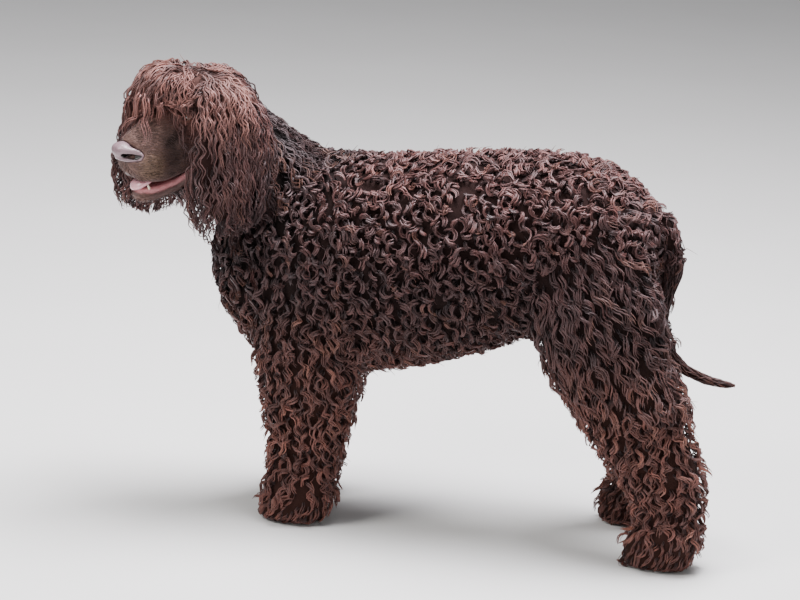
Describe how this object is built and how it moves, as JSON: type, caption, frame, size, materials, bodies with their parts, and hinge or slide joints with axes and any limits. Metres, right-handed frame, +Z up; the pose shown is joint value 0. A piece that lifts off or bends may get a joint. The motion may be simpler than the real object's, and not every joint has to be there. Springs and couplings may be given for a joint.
{
  "type": "irish water spaniel",
  "caption": "Life-size standing dog with a dense curly liver coat, a wavy topknot, long hanging ears and a thin smooth tail, its head turned to its left",
  "frame": {"origin": "on the floor, under the middle of the dog's bounding box", "axes": "+X is the dog's left, -Y is the way the body faces, +Z is up"},
  "size_m": [0.3521, 1.0257, 0.738],
  "materials": {
    "coat": "matt dark liver coat of tight curls",
    "head_coat": "matt red-brown wavy hair",
    "face": "short smooth liver hair",
    "nose": "moist liver nose leather",
    "tongue": "wet pink",
    "eye": "glossy dark amber"
  },
  "bodies": {
    "root": {"ear_left": "head_coat", "ear_right": "head_coat", "eye_left": "eye", "eye_right": "eye", "foreleg_left": "coat", "foreleg_right": "coat", "forepaw_left": "coat", "forepaw_right": "coat", "head": "face", "hindpaw_left": "coat", "hindpaw_right": "coat", "lower_jaw": "face", "neck": "coat", "nose": "nose", "shank_left": "coat", "shank_right": "coat", "tail": "coat", "tail_root": "coat", "thigh_left": "coat", "thigh_right": "coat", "tongue": "tongue", "topknot": "head_coat", "trunk": "coat"}
  },
  "joints": []
}
